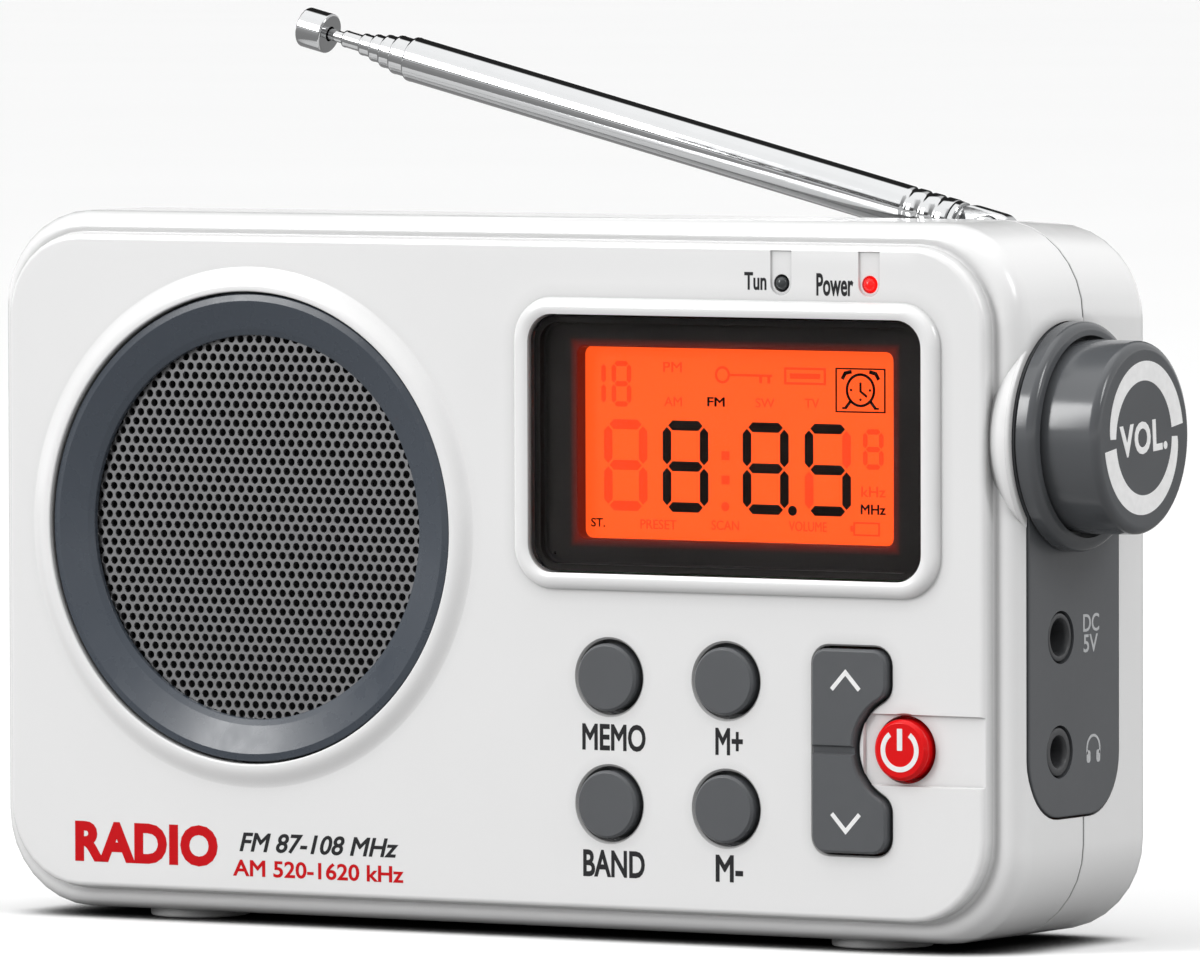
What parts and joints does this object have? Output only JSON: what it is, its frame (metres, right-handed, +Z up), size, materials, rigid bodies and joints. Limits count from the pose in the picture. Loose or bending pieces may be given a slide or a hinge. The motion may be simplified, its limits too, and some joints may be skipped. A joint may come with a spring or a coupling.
{
  "type": "tabletop radio",
  "caption": "Portable tabletop radio with a round loudspeaker, lit display, push keys, tuning rocker, side volume knob, sockets, battery bay and telescopic rod aerial.",
  "frame": {"origin": "middle of the object's width and depth, on the surface that it stands on", "axes": "+X to the radio's right-hand side as seen from the front, +Y from the front face to the back, +Z up"},
  "size_m": [0.195, 0.0456, 0.1408],
  "materials": {
    "white_plastic": "smooth glossy white moulding",
    "grey_plastic": "satin dark grey moulding",
    "ring_plastic": "satin blue-grey moulding",
    "grille_metal": "perforated sheet, fine satin",
    "red_plastic": "glossy red moulding",
    "black_plastic": "smooth black",
    "window_plastic": "clear polished window",
    "display_glow": "lit orange display",
    "backlight": "white diffuser",
    "lamp_lit": "lit red lamp",
    "lamp_dark": "unlit lamp, smoked",
    "foot_rubber": "matt light grey",
    "board": "green solder mask",
    "copper": "enamelled winding wire",
    "ferrite": "dull sintered",
    "speaker_paper": "pressed pulp",
    "plain_steel": "plated",
    "chrome": "bright plated"
  },
  "bodies": {
    "case": {"front_shell": "white_plastic", "rear_shell": "white_plastic", "side_panel": "grey_plastic", "volume_collar": "grey_plastic", "speaker_ring": "ring_plastic", "speaker_grille": "grille_metal", "display_mask": "black_plastic", "dc_jack": "black_plastic", "headphone_jack": "black_plastic", "switch_memo": "black_plastic", "switch_m_plus": "black_plastic", "switch_band": "black_plastic", "switch_m_minus": "black_plastic", "switch_power": "black_plastic", "switch_tune_up": "black_plastic", "switch_tune_down": "black_plastic", "display_lens": "window_plastic", "lcd_panel": "display_glow", "lcd_backlight": "backlight", "power_led": "lamp_lit", "tuning_led": "lamp_dark", "foot_front_left": "foot_rubber", "foot_front_right": "foot_rubber", "foot_rear_left": "foot_rubber", "foot_rear_right": "foot_rubber", "main_board": "board", "key_board": "board", "aerial_coil": "copper", "ferrite_rod": "ferrite", "speaker_magnet": "ferrite", "speaker_cone": "speaker_paper", "speaker_basket": "plain_steel", "case_screw_1": "plain_steel", "case_screw_2": "plain_steel", "case_screw_3": "plain_steel", "case_screw_4": "plain_steel", "volume_pot": "plain_steel", "battery_springs": "plain_steel", "battery_contacts": "plain_steel", "aerial_bracket": "plain_steel", "aerial_pivot_screw": "chrome"},
    "memo_key": {"button_memo": "grey_plastic"},
    "m_plus_key": {"button_m_plus": "grey_plastic"},
    "band_key": {"button_band": "grey_plastic"},
    "m_minus_key": {"button_m_minus": "grey_plastic"},
    "power_key": {"power_button": "red_plastic"},
    "tuning_key": {"tuning_rocker": "grey_plastic"},
    "volume_control": {"volume_knob": "grey_plastic", "volume_shaft": "plain_steel"},
    "door": {"battery_door": "white_plastic"},
    "aerial_1": {"aerial_knuckle": "chrome", "aerial_section_1": "chrome"},
    "aerial_2": {"aerial_section_2": "chrome"},
    "aerial_3": {"aerial_section_3": "chrome"},
    "aerial_4": {"aerial_section_4": "chrome"},
    "aerial_5": {"aerial_section_5": "chrome"},
    "aerial_6": {"aerial_section_6": "chrome"},
    "aerial_7": {"aerial_section_7": "chrome", "aerial_tip": "chrome"}
  },
  "joints": [
    {"name": "memo_press", "type": "slide", "parent": "case", "child": "memo_key", "axis": [0, 1, 0], "range_m": [0, 0.0006], "stiffness_N_per_m": 250},
    {"name": "m_plus_press", "type": "slide", "parent": "case", "child": "m_plus_key", "axis": [0, 1, 0], "range_m": [0, 0.0006], "stiffness_N_per_m": 250},
    {"name": "band_press", "type": "slide", "parent": "case", "child": "band_key", "axis": [0, 1, 0], "range_m": [0, 0.0006], "stiffness_N_per_m": 250},
    {"name": "m_minus_press", "type": "slide", "parent": "case", "child": "m_minus_key", "axis": [0, 1, 0], "range_m": [0, 0.0006], "stiffness_N_per_m": 250},
    {"name": "power_press", "type": "slide", "parent": "case", "child": "power_key", "axis": [0, 1, 0], "range_m": [0, 0.0006], "stiffness_N_per_m": 250},
    {"name": "tuning_rock", "type": "hinge", "parent": "case", "child": "tuning_key", "pos_m": [0.05655, -0.0184, 0.03025], "axis": [1, 0, 0], "range_deg": [-2.2, 2.2], "stiffness_Nm_per_rad": 0.05},
    {"name": "volume_turn", "type": "hinge", "parent": "case", "child": "volume_control", "pos_m": [0.08855, -0.0033, 0.0774], "axis": [1, 0, 0], "range_deg": [-150, 150]},
    {"name": "door_open", "type": "hinge", "parent": "case", "child": "door", "pos_m": [0.0174, 0.0228, 0.0098], "axis": [-1, 0, 0], "range_deg": [0, 90]},
    {"name": "aerial_tilt", "type": "hinge", "parent": "case", "child": "aerial_1", "pos_m": [0.06075, 0.0146, 0.10715], "axis": [0, 1, 0], "range_deg": [-14, 76]},
    {"name": "aerial_slide_2", "type": "slide", "parent": "aerial_1", "child": "aerial_2", "axis": [-0.9703, 0, 0.2419], "range_m": [0, 0.072]},
    {"name": "aerial_slide_3", "type": "slide", "parent": "aerial_2", "child": "aerial_3", "axis": [-0.9703, 0, 0.2419], "range_m": [0, 0.072]},
    {"name": "aerial_slide_4", "type": "slide", "parent": "aerial_3", "child": "aerial_4", "axis": [-0.9703, 0, 0.2419], "range_m": [0, 0.072]},
    {"name": "aerial_slide_5", "type": "slide", "parent": "aerial_4", "child": "aerial_5", "axis": [-0.9703, 0, 0.2419], "range_m": [0, 0.072]},
    {"name": "aerial_slide_6", "type": "slide", "parent": "aerial_5", "child": "aerial_6", "axis": [-0.9703, 0, 0.2419], "range_m": [0, 0.072]},
    {"name": "aerial_slide_7", "type": "slide", "parent": "aerial_6", "child": "aerial_7", "axis": [-0.9703, 0, 0.2419], "range_m": [0, 0.072]}
  ]
}
